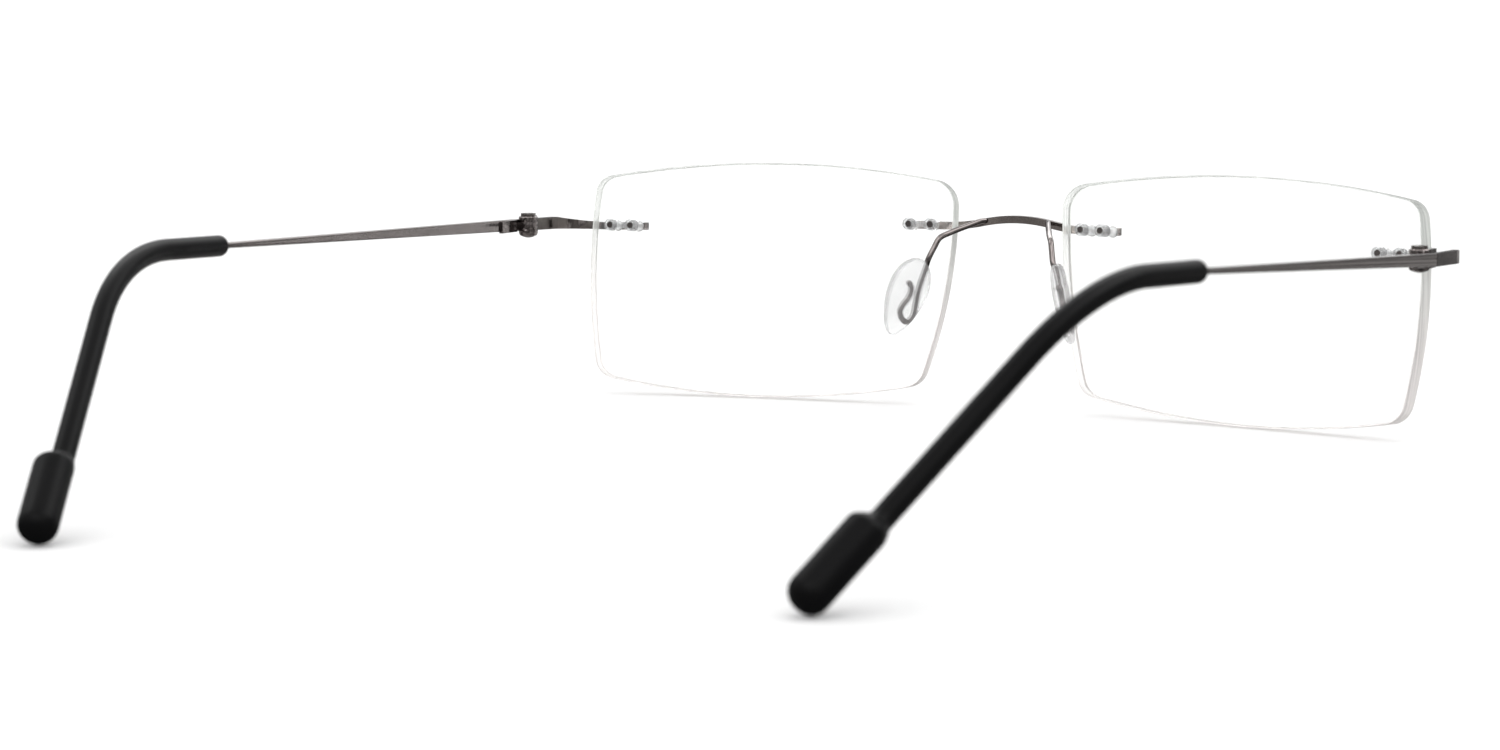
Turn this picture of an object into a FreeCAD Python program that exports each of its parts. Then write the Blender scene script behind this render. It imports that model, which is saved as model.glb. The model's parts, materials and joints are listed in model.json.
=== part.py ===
import FreeCAD, Part
import Sketcher
import math
import os

# Rimless eyeglasses, standing open on the lens bottoms and the temple tips.
# Millimetres.  +X is the wearer's left, +Y runs back along the temples,
# +Z is up, z = 0 is the surface that the glasses stand on.  The origin is
# the centre of the footprint.  Left-hand pieces are modelled and the
# right-hand ones are their mirror images in the YZ plane.

V = FreeCAD.Vector
PL = FreeCAD.Placement
ROT = FreeCAD.Rotation
DX, DY, DZ = V(1, 0, 0), V(0, 1, 0), V(0, 0, 1)

doc = FreeCAD.newDocument("rimless_eyeglasses")
sheet = doc.addObject("Spreadsheet::Sheet", "dims")

VALUES = [
    # lens: 71 between lens centres, boxed about 54 x 33
    ("lens_centre_x", 35.85), ("lens_centre_y", -76.415), ("lens_centre_z", 16.58),
    ("wrap_angle", 9.03), ("panto_angle", 5.61),
    ("front_radius", 190.0), ("lens_thick", 3.0),
    ("top_nasal_x", -27.36), ("top_nasal_z", 14.15),
    ("top_temporal_x", 25.66), ("top_temporal_z", 14.06),
    ("low_temporal_x", 24.92), ("low_temporal_z", -14.36),
    ("low_nasal_x", -22.92), ("low_nasal_z", -14.14),
    ("arc_top", 136.6), ("arc_temporal", 80.2), ("arc_low", 116.6), ("arc_nasal", 75.9),
    ("corner_top_nasal", 3.8), ("corner_top_temporal", 2.8),
    ("corner_low_temporal", 3.2), ("corner_low_nasal", 3.2),
    ("lens_bevel", 0.22),
    # drilled holes and pins
    ("hole_radius", 0.75), ("hole_pitch", 3.1), ("pin_radius", 0.45),
    ("nasal_hole_x", -22.56), ("nasal_hole_z", 8.42),
    ("temporal_hole_x", 21.98), ("temporal_hole_z", 7.30),
    ("pin_recess", 0.45), ("sleeve_tail", 1.30), ("sleeve_wall_radius", 0.87),
    ("sleeve_web_high", 0.95), ("sleeve_web_deep", 0.85), ("sleeve_fit", 0.745),
    # bridge
    ("arm_half_high", 0.525), ("bridge_end_x", 15.9), ("bridge_level_z", 25.08),
    ("arch_half", 10.5), ("arch_rise", 1.15),
    ("bridge_front_y", -80.835), ("bridge_front_end_y", -80.035),
    ("bridge_back_y", -79.935), ("bridge_back_end_y", -78.415), ("bridge_plan_x", 16.0),
    # nose pads and their arms
    ("wire_radius", 0.4), ("pad_long", 11.5), ("pad_wide", 7.1), ("pad_thick", 2.4),
    ("pad_x", 11.6), ("pad_y", -68.445), ("pad_z", 15.82), ("pad_round", 1.05),
    # end piece
    ("tangent_x", 0.963), ("tangent_y", 0.2804),
    ("end_inner_x", 54.9), ("end_inner_y", -73.9), ("bar_thick", 0.9),
    ("bar_out_x", 66.9), ("corner_out", 8.0),
    ("end_low_z", 23.95), ("end_mid_z", 24.55), ("end_mid_half", 0.87),
    # hinge
    ("hinge_x", 64.57), ("hinge_y", -55.415), ("hinge_z", 24.9),
    ("knuckle_radius", 1.35), ("knuckle_half", 0.50), ("knuckle_gap", 0.03),
    ("stack_up", 1.30), ("stack_down", 1.45), ("dome_drop", 0.30),
    ("screw_radius", 0.60), ("screw_head_radius", 1.05), ("screw_head_high", 0.42),
    ("screw_slot", 0.34), ("screw_slot_deep", 0.24), ("screw_clear", 0.03),
    ("leaf_start", 1.62), ("leaf_long", 4.0), ("leaf_half", 0.83), ("leaf_thick", 0.6),
    ("butt_gap", 0.04), ("swing_clear", 0.09),
    # temple
    ("bar_half_high", 0.83), ("wire_core", 0.375),
    # the temples are set as worn: the right one stands a little higher and further in
    ("mouth_x", 62.876), ("mouth_y", 21.1), ("mouth_z_left", 27.4), ("mouth_z_right", 29.14),
    ("bend_x", 60.4), ("bend_y", 44.805), ("bend_z_left", 28.25), ("bend_z_right", 29.9),
    ("tip_x_left", 45.25), ("tip_x_right", 44.3), ("tip_y", 79.408), ("tip_z", 0.47),
    ("bend_radius", 29.0), ("sleeve_radius", 1.3), ("core_lap", 0.6),
    ("bulb_radius", 2.25), ("bulb_long", 12.6), ("core_stop", 4.0),
    ("bulb_end_round", 1.9), ("bulb_shoulder_round", 1.2),
]
for row, (alias, value) in enumerate(VALUES, start=1):
    sheet.set("A%d" % row, alias)
    sheet.set("B%d" % row, repr(float(value)))
    sheet.setAlias("B%d" % row, alias)
doc.recompute()


def val(name):
    return float(getattr(sheet, name))


def number(text):
    """Value of an expression on the sheet's cells."""
    if not isinstance(text, str):
        return float(text)
    words, word = [], ""
    for ch in text + " ":
        if ch.isalnum() or ch in "_.":
            word += ch
            continue
        if word:
            words.append(word)
            word = ""
        if ch in "+-*/()":
            words.append(ch)

    def atom():
        w = words.pop(0)
        if w == "(":
            out = total()
            words.pop(0)
            return out
        if w in "+-":
            return -atom() if w == "-" else atom()
        return val(w.replace("dims.", "")) if w[0].isalpha() else float(w)

    def product():
        out = atom()
        while words and words[0] in "*/":
            out = out * atom() if words.pop(0) == "*" else out / atom()
        return out

    def total():
        out = product()
        while words and words[0] in "+-":
            out = out + product() if words.pop(0) == "+" else out - product()
        return out

    return total()


def names(text):
    """Put the sheet's name in front of every alias in an expression."""
    if not isinstance(text, str):
        return repr(float(text))
    out = ""
    word = ""
    for ch in text + " ":
        if ch.isalnum() or ch == "_":
            word += ch
            continue
        if word and (word[0].isalpha()):
            out += "dims." + word
        else:
            out += word
        word = ""
        out += ch
    return out.strip()


def value_of(text):
    return number(names(text))


def plane(body, role):
    for o in body.Origin.OriginFeatures:
        if o.Role == role:
            return o


def new_body(name):
    return doc.addObject("PartDesign::Body", name)


def sketch_on(body, name, role):
    sk = body.newObject("Sketcher::SketchObject", name)
    sk.AttachmentSupport = (plane(body, role), [""])
    sk.MapMode = "FlatFace"
    return sk


def arc_between(a, b, r, side):
    """Anticlockwise arc of radius r between a and b that bulges to the given
    side of the way from a to b; second value True if it starts at a."""
    mx, my = (a[0] + b[0]) / 2.0, (a[1] + b[1]) / 2.0
    dx, dy = b[0] - a[0], b[1] - a[1]
    c = math.hypot(dx, dy)
    h = math.sqrt(max(r * r - c * c / 4.0, 0.0))
    ox, oy = mx + side * dy / c * h, my - side * dx / c * h
    forward = side < 0
    p, q = (a, b) if forward else (b, a)
    t0 = math.atan2(p[1] - oy, p[0] - ox)
    t1 = math.atan2(q[1] - oy, q[0] - ox)
    if t1 < t0:
        t1 += 2 * math.pi
    return Part.ArcOfCircle(Part.Circle(V(ox, oy, 0), DZ, r), t0, t1), forward


def outline(sk, verts, edges, closed=True):
    """Chain of lines and arcs.  verts are pairs of expressions; edges[i] is
    None for a line or (radius expression, side), side +1 bulging to the left."""
    pts = [(value_of(a), value_of(b)) for a, b in verts]
    n = len(pts)
    count = n if closed else n - 1
    geo, first, final = [], [], []
    for i in range(count):
        a, b = pts[i], pts[(i + 1) % n]
        if edges[i] is None:
            geo.append(Part.LineSegment(V(a[0], a[1], 0), V(b[0], b[1], 0)))
            forward = True
        else:
            arc, forward = arc_between(a, b, value_of(edges[i][0]), edges[i][1])
            geo.append(arc)
        first.append(1 if forward else 2)
        final.append(2 if forward else 1)
    sk.addGeometry(geo, False)
    S = Sketcher
    cons, bound = [], []
    for i in range(count if closed else count - 1):
        j = (i + 1) % count
        cons.append(S.Constraint("Coincident", i, final[i], j, first[j]))
    for k, (ex, ey) in enumerate(verts):
        g, e = (k, first[k]) if k < count else (k - 1, final[k - 1])
        cons.append(S.Constraint("DistanceX", -1, 1, g, e, pts[k][0]))
        bound.append((len(cons) - 1, "x%d" % k, ex))
        cons.append(S.Constraint("DistanceY", -1, 1, g, e, pts[k][1]))
        bound.append((len(cons) - 1, "y%d" % k, ey))
    for i in range(count):
        if edges[i] is not None:
            cons.append(S.Constraint("Radius", i, value_of(edges[i][0])))
            bound.append((len(cons) - 1, "r%d" % i, edges[i][0]))
    sk.addConstraint(cons)
    for index, cname, ex in bound:
        sk.renameConstraint(index, cname)
        if isinstance(ex, str) and any(ch.isalpha() for ch in ex):
            sk.setExpression("Constraints." + cname, names(ex))
    return sk


def pad(body, sk, name, length, both=True):
    p = body.newObject("PartDesign::Pad", name)
    p.Profile = sk
    p.SideType = "Symmetric" if both else "One side"
    p.setExpression("Length", names(length))
    body.Tip = p
    return p


def edges_along(shape, direction, pick=None, tol=1e-3):
    out = []
    for i, e in enumerate(shape.Edges, start=1):
        if len(e.Vertexes) != 2:
            continue
        a, b = e.Vertexes[0].Point, e.Vertexes[1].Point
        d = b.sub(a)
        if d.Length < 1e-6:
            continue
        if abs(abs(d.normalize().dot(direction)) - 1.0) < tol:
            if pick is None or pick(a, b):
                out.append("Edge%d" % i)
    return out


def fillet(body, base, name, edges, radius):
    f = body.newObject("PartDesign::Fillet", name)
    f.Base = (base, edges)
    f.setExpression("Radius", names(radius))
    body.Tip = f
    return f


def cylinder(name, radius, height, place=None):
    c = doc.addObject("Part::Cylinder", name)
    c.setExpression("Radius", names(radius))
    c.setExpression("Height", names(height))
    if place is not None:
        c.Placement = place
    return c


def box(name, sx, sy, sz, place):
    b = doc.addObject("Part::Box", name)
    for prop, ex in (("Length", sx), ("Width", sy), ("Height", sz)):
        b.setExpression(prop, names(ex))
    b.Placement = place
    return b


def sphere(name, radius, centre):
    s = doc.addObject("Part::Sphere", name)
    s.setExpression("Radius", names(radius))
    s.Placement = PL(centre, ROT())
    return s


def fuse(name, parts):
    f = doc.addObject("Part::MultiFuse", name)
    f.Shapes = parts
    return f


def common(name, parts):
    f = doc.addObject("Part::MultiCommon", name)
    f.Shapes = parts
    return f


def cut(name, base, tool):
    f = doc.addObject("Part::Cut", name)
    f.Base = base
    f.Tool = tool
    return f


def mirror(name, source):
    m = doc.addObject("Part::Mirroring", name)
    m.Source = source
    m.Base = V(0, 0, 0)
    m.Normal = DX
    return m


SUBPARTS = {}


def keep(label, obj):
    obj.Label = label
    SUBPARTS[label] = obj
    return obj


# ---------------------------------------------------------------- lenses
LENS = PL(V(val("lens_centre_x"), val("lens_centre_y"), val("lens_centre_z")),
          ROT(DZ, val("wrap_angle")).multiply(ROT(DX, val("panto_angle"))))
ALONG_Y = ROT(DX, -90)      # turns a cylinder's +Z axis to +Y

lens_body = new_body("lens_outline")
sk = sketch_on(lens_body, "lens_outline_sketch", "XZ_Plane")
outline(sk,
        [("top_nasal_x", "top_nasal_z"), ("top_temporal_x", "top_temporal_z"),
         ("low_temporal_x", "low_temporal_z"), ("low_nasal_x", "low_nasal_z")],
        [("arc_top", 1), ("arc_temporal", 1), ("arc_low", 1), ("arc_nasal", 1)])
lens_pad = pad(lens_body, sk, "lens_pad", "front_radius * 0.1")
doc.recompute()
last = lens_pad
for fname, cx, cz in (("corner_top_nasal", "top_nasal_x", "top_nasal_z"),
                      ("corner_top_temporal", "top_temporal_x", "top_temporal_z"),
                      ("corner_low_temporal", "low_temporal_x", "low_temporal_z"),
                      ("corner_low_nasal", "low_nasal_x", "low_nasal_z")):
    x0, z0 = val(cx), val(cz)
    near = edges_along(last.Shape, DY, lambda a, b: math.hypot(a.x - x0, a.z - z0) < 0.5)
    last = fillet(lens_body, last, "fillet_" + fname, near, fname)
    doc.recompute()

CENTRE = V(0, val("front_radius"), 0)
front_local = sphere("front_sphere", "front_radius", CENTRE)
back_local = sphere("back_sphere", "front_radius - lens_thick", CENTRE)
shell = cut("lens_shell", front_local, back_local)
blank = common("lens_blank", [lens_body, shell])


def local_pair(name, centre_x, centre_z, radius, y0, length):
    """Two cylinders side by side along the lens's own Y axis."""
    out = []
    for k, sgn in enumerate((-1, 1)):
        x = value_of("%s + %d * hole_pitch / 2" % (centre_x, sgn))
        out.append(cylinder("%s_%d" % (name, k), radius, length,
                            PL(V(x, value_of(y0), value_of(centre_z)), ALONG_Y)))
    return fuse(name, out)


holes_n = local_pair("holes_nasal", "nasal_hole_x", "nasal_hole_z", "hole_radius", "-2", "lens_thick * 3")
holes_t = local_pair("holes_temporal", "temporal_hole_x", "temporal_hole_z", "hole_radius", "-2", "lens_thick * 3")
holes = fuse("lens_holes", [holes_n, holes_t])
drilled = cut("lens_drilled", blank, holes)
doc.recompute()

rim = []
for i, e in enumerate(drilled.Shape.Edges, start=1):
    bb = e.BoundBox
    big = max(bb.XLength, bb.ZLength) > 2.2
    thick = bb.YLength > 0.8 * val("lens_thick") and max(bb.XLength, bb.ZLength) < 2.0
    if big and not thick:
        rim.append(i)
lens = doc.addObject("Part::Chamfer", "lens_left_bevelled")
lens.Base = drilled
lens.Edges = [(i, val("lens_bevel"), val("lens_bevel")) for i in rim]
doc.recompute()
if lens.Shape.isNull() or not lens.Shape.isValid() or "Invalid" in lens.State:
    print("lens bevel left out")
    doc.removeObject(lens.Name)
    lens = drilled
lens.Placement = LENS
keep("lens_left", lens)

# The undrilled lens in its place, to shape the parts that lie on its front.
seat_left = doc.addObject("Part::Compound", "lens_seat_left")
seat_left.Links = [blank]
seat_left.Placement = LENS
seat_right = mirror("lens_seat_right", seat_left)

# ---------------------------------------------------------------- pins
SAG_N = value_of("front_radius") - math.sqrt(val("front_radius") ** 2 - val("nasal_hole_x") ** 2 - val("nasal_hole_z") ** 2)
SAG_T = value_of("front_radius") - math.sqrt(val("front_radius") ** 2 - val("temporal_hole_x") ** 2 - val("temporal_hole_z") ** 2)
pins_n = local_pair("pins_nasal_left", "nasal_hole_x", "nasal_hole_z", "pin_radius",
                    "%r - pin_recess" % SAG_N, "lens_thick + sleeve_tail + pin_recess")
pins_n.Placement = LENS
pins_t = local_pair("pins_temporal_left", "temporal_hole_x", "temporal_hole_z", "pin_radius",
                    "%r - pin_recess" % SAG_T, "lens_thick + sleeve_tail + pin_recess")
pins_t.Placement = LENS
keep("end_piece_pins_left", pins_t)
pins_n_right = mirror("pins_nasal_right", pins_n)
pins_bridge = doc.addObject("Part::Compound", "pins_bridge")
pins_bridge.Links = [pins_n, pins_n_right]
keep("bridge_pins", pins_bridge)


# ---------------------------------------------------------------- lens sleeves
def lens_sleeve(name, cx, cz, sag):
    """Two barrels through the lens joined by a web behind it."""
    tails = local_pair(name + "_tails", cx, cz, "sleeve_wall_radius",
                       "%r + lens_thick - 1" % sag, "1 + sleeve_tail")
    web = box(name + "_web", "hole_pitch", "1 + sleeve_web_deep", "sleeve_web_high",
              PL(V(value_of(cx + " - hole_pitch / 2"), value_of("%r + lens_thick - 1" % sag),
                   value_of(cz + " - sleeve_web_high / 2")), ROT()))
    behind = common(name + "_behind", [fuse(name + "_raw", [tails, web]),
                                       sphere(name + "_back", "front_radius - lens_thick", CENTRE)])
    inside = common(name + "_inside", [
        local_pair(name + "_barrels", cx, cz, "sleeve_fit", "0", "%r + lens_thick + 0.5" % sag),
        sphere(name + "_front", "front_radius", CENTRE)])
    raw = fuse(name + "_body", [inside, behind])
    bores = local_pair(name + "_bores", cx, cz, "pin_radius", "-2", "lens_thick * 4")
    out = cut(name, raw, bores)
    out.Placement = LENS
    return out


sleeve_n = keep("lens_sleeve_nasal_left", lens_sleeve("sleeve_nasal", "nasal_hole_x", "nasal_hole_z", SAG_N))
sleeve_t = keep("lens_sleeve_temporal_left", lens_sleeve("sleeve_temporal", "temporal_hole_x", "temporal_hole_z", SAG_T))

# ---------------------------------------------------------------- bridge
# Front view: a level arm at each lens joined by a low arch of two tangent
# arcs; plan view: a band that bows gently forwards.
R_ARCH = "((arch_half ^ 2 + arch_rise ^ 2) / (4 * arch_rise))"
SIN_A = "(arch_half / (2 * %s))" % R_ARCH
COS_A = "(1 - arch_rise / (2 * %s))" % R_ARCH
bf = new_body("bridge_front_view")
sk = sketch_on(bf, "bridge_front_sketch", "XZ_Plane")
top, low = "bridge_level_z + arm_half_high", "bridge_level_z - arm_half_high"
ix_t = "arch_half / 2 + arm_half_high * %s" % SIN_A
iz_t = "bridge_level_z + arch_rise / 2 + arm_half_high * %s" % COS_A
ix_l = "arch_half / 2 - arm_half_high * %s" % SIN_A
iz_l = "bridge_level_z + arch_rise / 2 - arm_half_high * %s" % COS_A
r_out = R_ARCH + " + arm_half_high"
r_in = R_ARCH + " - arm_half_high"


def neg(e):
    return "0 - (" + e + ")"


outline(sk,
        [(neg("bridge_end_x"), low), (neg("bridge_end_x"), top),
         (neg("arch_half"), top), (neg(ix_t), iz_t), (ix_t, iz_t), ("arch_half", top),
         ("bridge_end_x", top), ("bridge_end_x", low),
         ("arch_half", low), (ix_l, iz_l), (neg(ix_l), iz_l), (neg("arch_half"), low)],
        [("arm_half_high * 1.02", 1), None, (r_in, -1), (r_out, 1), (r_in, -1), None,
         ("arm_half_high * 1.02", 1), None, (r_out, 1), (r_in, -1), (r_out, 1), None])
pad(bf, sk, "bridge_front_pad", "bar_out_x * 3.2")

bp = new_body("bridge_plan_view")
sk = sketch_on(bp, "bridge_plan_sketch", "XY_Plane")
R_F = "((bridge_plan_x ^ 2 + (bridge_front_end_y - bridge_front_y) ^ 2) / (2 * (bridge_front_end_y - bridge_front_y)))"
R_B = "((bridge_plan_x ^ 2 + (bridge_back_end_y - bridge_back_y) ^ 2) / (2 * (bridge_back_end_y - bridge_back_y)))"
outline(sk,
        [(neg("bridge_plan_x"), "bridge_front_end_y"), ("bridge_plan_x", "bridge_front_end_y"),
         ("bridge_plan_x", "bridge_back_end_y"), (neg("bridge_plan_x"), "bridge_back_end_y")],
        [(R_F, -1), None, (R_B, 1), None])
pad(bp, sk, "bridge_plan_pad", "bridge_level_z * 3")
bridge_raw = common("bridge_raw", [bf, bp])
bridge_tools = doc.addObject("Part::Compound", "bridge_tools")
bridge_tools.Links = [seat_left, seat_right]
bridge_cut = cut("bridge_on_lenses", bridge_raw, bridge_tools)
bridge = cut("bridge_bar_drilled", bridge_cut, pins_bridge)
keep("bridge_bar", bridge)


# ---------------------------------------------------------------- nose pads
# The pad's own frame: X across it (rear edge positive), Y out of its
# face, Z up its length.
PAD_UP = V(-0.30, -0.235, 0.924).normalize()
PAD_W = V(0.373, 0.864, 0.340)
PAD_W = (PAD_W - PAD_UP * PAD_W.dot(PAD_UP)).normalize()
PAD_N = PAD_UP.cross(PAD_W)
m = FreeCAD.Matrix(PAD_W.x, PAD_N.x, PAD_UP.x, val("pad_x"),
                   PAD_W.y, PAD_N.y, PAD_UP.y, val("pad_y"),
                   PAD_W.z, PAD_N.z, PAD_UP.z, val("pad_z"), 0, 0, 0, 1)
PAD = PL(m)

pad_body = new_body("nose_pad_blank")
sk = sketch_on(pad_body, "nose_pad_sketch", "XZ_Plane")
hw, hl = "pad_wide / 2", "pad_long / 2"
outline(sk,
        [(neg(hw), "0 - pad_long * 0.06"), ("0 - pad_wide * 0.20", hl), ("pad_wide * 0.14", "pad_long * 0.495"),
         (hw, "0 - pad_long * 0.05"), ("pad_wide * 0.22", "0 - pad_long * 0.49"),
         ("0 - pad_wide * 0.16", neg(hl))],
        [("pad_long * 0.80", 1), ("pad_wide * 0.55", 1), ("pad_long * 0.80", 1),
         ("pad_long * 0.66", 1), ("pad_wide * 0.55", 1), ("pad_long * 0.60", 1)])
pp = pad(pad_body, sk, "nose_pad_pad", "pad_thick")
doc.recompute()
sharp = edges_along(pp.Shape, DY)
last = pp
if sharp:
    f = fillet(pad_body, last, "nose_pad_corners", sharp, "pad_wide * 0.14")
    doc.recompute()
    if "Invalid" in f.State or f.Shape.isNull():
        pad_body.removeObject(f)
        doc.removeObject(f.Name)
        pad_body.Tip = last
    else:
        last = f
ring = []
for i, e in enumerate(last.Shape.Edges, start=1):
    bb = e.BoundBox
    if bb.YLength < 1e-3:
        ring.append("Edge%d" % i)
f = fillet(pad_body, last, "nose_pad_round", ring, "pad_round")
doc.recompute()
if "Invalid" in f.State or f.Shape.isNull():
    print("pad rounding left out")
    pad_body.removeObject(f)
    doc.removeObject(f.Name)
    pad_body.Tip = last
pad_body.Placement = PAD

# Pad arm: a wire that leaves the rear of the bridge, turns down beside the
# nose and ends in an S-shaped hook inside the pad.
TH = val("pad_thick")


def in_pad(wd, hh, dd=0.0):
    return PAD.multVec(V(wd, dd, hh))


# straight runs joined by round bends: (corner, bend radius)
arm_corners = [(V(4.75, -79.72, 25.95), 0), (V(8.1, -71.95, 23.85), 2.0), (in_pad(-1.0, 4.6), 3.0),
               (in_pad(-2.3, -3.4), 0.95), (in_pad(0.55, -3.0), 0.95), (in_pad(-0.2, 0.9), 0)]
rw = val("wire_radius")
runs, at = [], arm_corners[0][0]
for k in range(1, len(arm_corners) - 1):
    corner, r = arm_corners[k]
    back = (arm_corners[k - 1][0] - corner).normalize()
    ahead = (arm_corners[k + 1][0] - corner).normalize()
    half = back.getAngle(ahead) / 2
    a = corner + back * (r / math.tan(half))
    b = corner + ahead * (r / math.tan(half))
    middle = corner + (back + ahead).normalize() * (r / math.sin(half))
    runs.append(Part.makeCylinder(rw, (a - at).Length, at, back * -1.0))
    disc = Part.Face(Part.Wire([Part.makeCircle(rw, a, back * -1.0)]))
    runs.append(disc.revolve(middle, ahead.cross(back), 180 - math.degrees(2 * half)))
    at = b
end = arm_corners[-1][0]
runs.append(Part.makeCylinder(rw, (end - at).Length, at, (end - at).normalize()))
arm_shape = runs[0].fuse(runs[1:])
arm_wire = doc.addObject("Part::Feature", "pad_arm_wire")
arm_wire.Shape = arm_shape
arm_wire.Placement = PL()
pad_arm = cut("pad_arm_trimmed", arm_wire, bridge_raw)
keep("pad_arm_left", pad_arm)
nose_pad = cut("nose_pad_moulded", pad_body, arm_wire)
keep("nose_pad_left", nose_pad)

# ---------------------------------------------------------------- end piece
# Plan view: lies on the lens front, turns the corner on a wide radius and
# runs back to the hinge.  Side view: narrow at the lens, full at the hinge.
NX, NY = "tangent_y", "(0 - tangent_x)"            # outward normal of the arm
X_INT_Y = "(end_inner_y + (bar_out_x - end_inner_x) * tangent_y / tangent_x)"
TLEN = "(corner_out * 0.7592)"
a1x = "(bar_out_x - %s * tangent_x)" % TLEN
a1y = "(%s - %s * tangent_y)" % (X_INT_Y, TLEN)
a2y = "(%s + %s)" % (X_INT_Y, TLEN)
ep = new_body("end_piece_plan_view")
sk = sketch_on(ep, "end_piece_plan_sketch", "XY_Plane")
rear_y = "hinge_y - butt_gap"
outline(sk,
        [("end_inner_x", "end_inner_y"), (a1x, a1y), ("bar_out_x", a2y), ("bar_out_x", rear_y),
         ("bar_out_x - bar_thick", rear_y), ("bar_out_x - bar_thick", a2y),
         (a1x + " - bar_thick * tangent_y", a1y + " + bar_thick * tangent_x"),
         ("end_inner_x - bar_thick * tangent_y", "end_inner_y + bar_thick * tangent_x")],
        [None, ("corner_out", -1), None, None, None, ("corner_out - bar_thick", 1), None, None])
pad(ep, sk, "end_piece_plan_pad", "hinge_z * 3")
es = new_body("end_piece_side_view")
sk = sketch_on(es, "end_piece_side_sketch", "YZ_Plane")
lo, mi = "end_low_z", "end_mid_z"
y0, y1, y2, y3 = "lens_centre_y", "lens_centre_y + 5.2", "lens_centre_y + 10.5", "hinge_y + 1"
outline(sk,
        [(y0, lo + " - arm_half_high"), (y1, lo + " - arm_half_high"),
         (y2, mi + " - end_mid_half"), (y3, "hinge_z - bar_half_high"),
         (y3, "hinge_z + bar_half_high"), (y2, mi + " + end_mid_half"),
         (y1, lo + " + arm_half_high"), (y0, lo + " + arm_half_high")],
        [None] * 8)
pad(es, sk, "end_piece_side_pad", "bar_out_x * 3")
ep_raw = common("end_piece_raw", [ep, es])
ep_cut = cut("end_piece_on_lens", ep_raw, seat_left)
end_piece = cut("end_piece_drilled", ep_cut, pins_t)
keep("end_piece_left", end_piece)

# ---------------------------------------------------------------- hinge
HX, HY, HZ = val("hinge_x"), val("hinge_y"), val("hinge_z")
bar_in = "(bar_out_x - bar_thick - hinge_x)"


def at_hinge(x, y, z):
    return PL(V(HX + value_of(x), HY + value_of(y), HZ + value_of(z)), ROT())


# front half: domed barrel and lug, slotted for the middle knuckle
fb = new_body("hinge_barrel")
sk = sketch_on(fb, "hinge_barrel_sketch", "XZ_Plane")
outline(sk,
        [("0", "0 - stack_down - dome_drop"), ("knuckle_radius - 0.12", "0 - stack_down + 0.10"),
         ("knuckle_radius", "0 - stack_down + 0.45"), ("knuckle_radius", "stack_up - 0.12"),
         ("knuckle_radius - 0.12", "stack_up"), ("0", "stack_up")],
        [("knuckle_radius * 1.9", -1), None, None, None, None, None])
rev = fb.newObject("PartDesign::Revolution", "hinge_barrel_turn")
rev.Profile = sk
rev.ReferenceAxis = (sk, ["V_Axis"])
rev.Angle = 360
fb.Tip = rev
fb.Placement = at_hinge("0", "0", "0")
lug = box("hinge_lug", bar_in + " - 0.15", "2.7", "stack_up + stack_down - 0.35",
          at_hinge("0.15", "0 - 2.7", "0 - stack_down + 0.30"))
front_raw = fuse("hinge_front_raw", [fb, lug])
slot = cylinder("hinge_slot", "knuckle_radius + swing_clear", "2 * (knuckle_half + knuckle_gap)",
                at_hinge("0", "0", "0 - knuckle_half - knuckle_gap"))
bore_f = cylinder("hinge_bore_front", "screw_radius + 0.01", "stack_up * 3",
                  at_hinge("0", "0", "0 - stack_up"))
front_cut = cut("hinge_front_cut", front_raw, fuse("hinge_front_tools", [slot, bore_f]))
keep("hinge_front_left", front_cut)

# rear half: middle knuckle, neck and leaf on the temple's inner face
knuckle = cylinder("hinge_middle", "knuckle_radius", "2 * knuckle_half", at_hinge("0", "0", "0 - knuckle_half"))
neck = box("hinge_neck", bar_in + " - 0.45", "leaf_start + 1", "2 * knuckle_half",
           at_hinge("0.45", "0", "0 - knuckle_half"))
leaf = box("hinge_leaf", "leaf_thick", "leaf_long", "2 * leaf_half",
           at_hinge(bar_in + " - leaf_thick", "leaf_start", "0 - leaf_half"))
rear_raw = fuse("hinge_rear_raw", [knuckle, neck, leaf])
bore_r = cylinder("hinge_bore_rear", "screw_radius + screw_clear", "stack_up * 3",
                  at_hinge("0", "0", "0 - stack_up * 1.5"))

# screw: shank down into the lower knuckle, slotted head on top
shank = cylinder("screw_shank", "screw_radius", "stack_up + stack_up - 0.05",
                 at_hinge("0", "0", "0 - stack_up + 0.05"))
head = cylinder("screw_head", "screw_head_radius", "screw_head_high", at_hinge("0", "0", "stack_up"))
screw_raw = fuse("screw_raw", [shank, head])
screw_slot = box("screw_slot_cut", "4", "screw_slot", "1",
                 at_hinge("0 - 2", "0 - screw_slot / 2", "stack_up + screw_head_high - screw_slot_deep"))
screw_slot.Placement = PL(V(HX, HY, HZ), ROT(DZ, 25)).multiply(
    PL(V(-2, -val("screw_slot") / 2, value_of("stack_up + screw_head_high - screw_slot_deep")), ROT()))
screw = cut("screw_slotted", screw_raw, screw_slot)
keep("hinge_screw_left", screw)

# ---------------------------------------------------------------- temple
def frame(origin, x, z):
    y = z.cross(x)
    return PL(FreeCAD.Matrix(x.x, y.x, z.x, origin.x, x.y, y.y, z.y, origin.y,
                             x.z, y.z, z.z, origin.z, 0, 0, 0, 1))


def add_cell(alias, value):
    global row
    row += 1
    sheet.set("A%d" % row, alias)
    sheet.set("B%d" % row, repr(float(value)))
    sheet.setAlias("B%d" % row, alias)


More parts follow.
